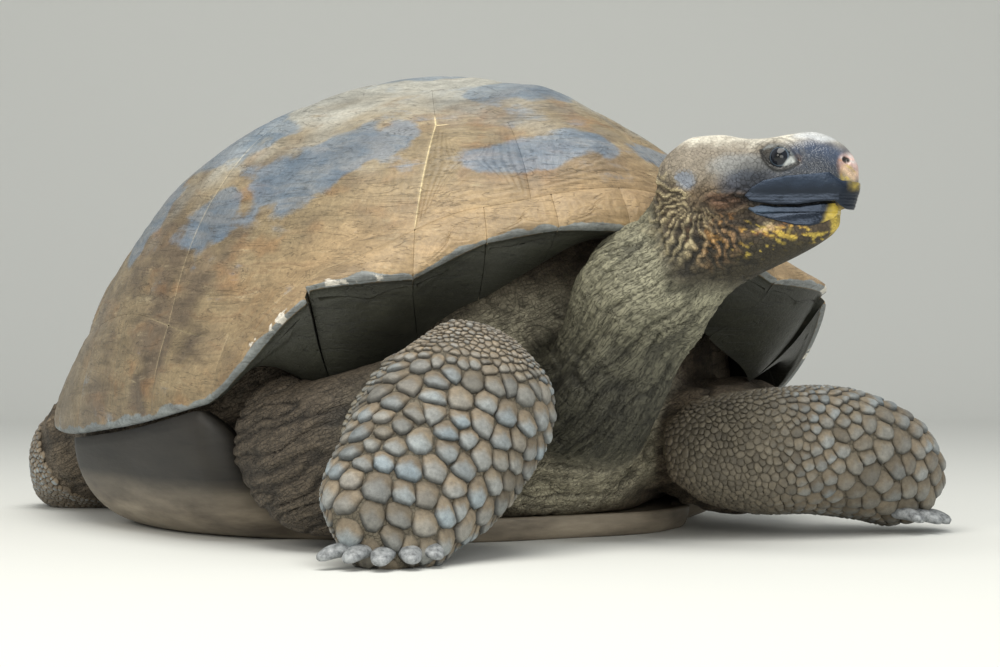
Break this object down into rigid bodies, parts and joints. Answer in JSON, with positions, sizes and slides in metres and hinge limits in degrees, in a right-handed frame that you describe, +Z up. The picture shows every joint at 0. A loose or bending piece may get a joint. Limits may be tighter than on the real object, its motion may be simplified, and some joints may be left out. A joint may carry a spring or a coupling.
{
  "type": "giant tortoise model",
  "caption": "Life-size still model of a giant tortoise resting on its flat underside, high domed shell flaring over folded front legs, neck raised and head turned to its left.",
  "frame": {"origin": "on the floor, on the plastron's resting flat, under the middle of the shell's width", "axes": "+Z up, -Y towards the head end, +X to the animal's left"},
  "size_m": [0.923, 1.3067, 0.5738],
  "materials": {
    "shell_horn": "worn, satin",
    "shell_rim": "worn, satin",
    "plastron_horn": "matte",
    "beak_horn": "polished horn",
    "eye": "wet, glossy",
    "scaly_skin": "dry, scaly",
    "skin": "dry, wrinkled"
  },
  "bodies": {
    "root": {"vertebral_1": "shell_horn", "vertebral_2": "shell_horn", "vertebral_3": "shell_horn", "vertebral_4": "shell_horn", "vertebral_5": "shell_horn", "costal_1_l": "shell_horn", "costal_1_r": "shell_horn", "costal_2_l": "shell_horn", "costal_2_r": "shell_horn", "costal_3_l": "shell_horn", "costal_3_r": "shell_horn", "costal_4_l": "shell_horn", "costal_4_r": "shell_horn", "marginal_1_l": "shell_rim", "marginal_1_r": "shell_rim", "marginal_2_l": "shell_rim", "marginal_2_r": "shell_rim", "marginal_3_l": "shell_rim", "marginal_3_r": "shell_rim", "marginal_4_l": "shell_rim", "marginal_4_r": "shell_rim", "marginal_5_l": "shell_rim", "marginal_5_r": "shell_rim", "marginal_6_l": "shell_rim", "marginal_6_r": "shell_rim", "marginal_7_l": "shell_rim", "marginal_7_r": "shell_rim", "marginal_8_l": "shell_rim", "marginal_8_r": "shell_rim", "marginal_9_l": "shell_rim", "marginal_9_r": "shell_rim", "marginal_10_l": "shell_rim", "marginal_10_r": "shell_rim", "marginal_11_l": "shell_rim", "marginal_11_r": "shell_rim", "supracaudal": "shell_rim", "plastron": "plastron_horn", "head": "skin", "beak_upper": "beak_horn", "beak_lower": "beak_horn", "eye_l": "eye", "eye_r": "eye", "neck": "skin", "foreleg_l_upper": "scaly_skin", "foreleg_l_lower": "scaly_skin", "foreleg_r_upper": "scaly_skin", "foreleg_r_lower": "scaly_skin", "hindleg_l_upper": "scaly_skin", "hindleg_l_lower": "scaly_skin", "hindleg_r_upper": "scaly_skin", "hindleg_r_lower": "scaly_skin", "tail": "skin", "trunk": "skin"}
  },
  "joints": []
}
